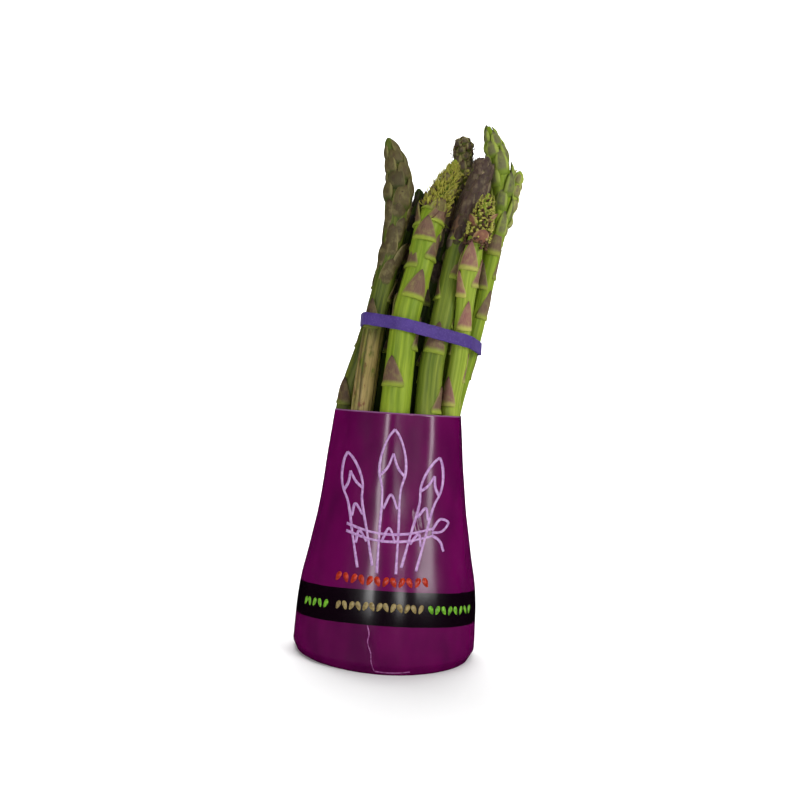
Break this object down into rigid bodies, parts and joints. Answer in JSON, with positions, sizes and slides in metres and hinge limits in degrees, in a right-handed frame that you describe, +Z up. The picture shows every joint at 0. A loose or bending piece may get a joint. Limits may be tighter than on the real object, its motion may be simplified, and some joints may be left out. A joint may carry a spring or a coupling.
{
  "type": "bundle of asparagus",
  "caption": "Tied bundle of green asparagus standing on its cut ends, with a rubber band under the heads and a flared printed film sleeve round the lower half.",
  "frame": {"origin": "on the floor at the middle of the sleeve's open foot, on the cut end of the innermost spear", "axes": "+Z up along the bundle from the cut ends to the tips, -Y towards the printed front of the sleeve, +X to the right seen from the front"},
  "size_m": [0.0922, 0.0813, 0.242],
  "materials": {
    "spear": "satin",
    "film": "gloss",
    "rubber": "matte"
  },
  "bodies": {
    "root": {"spear_01": "spear", "spear_02": "spear", "spear_03": "spear", "spear_04": "spear", "spear_05": "spear", "spear_06": "spear", "spear_07": "spear", "spear_08": "spear", "spear_09": "spear", "spear_10": "spear", "spear_11": "spear", "spear_12": "spear", "spear_13": "spear", "spear_14": "spear", "sleeve": "film", "rubber_band": "rubber"}
  },
  "joints": []
}
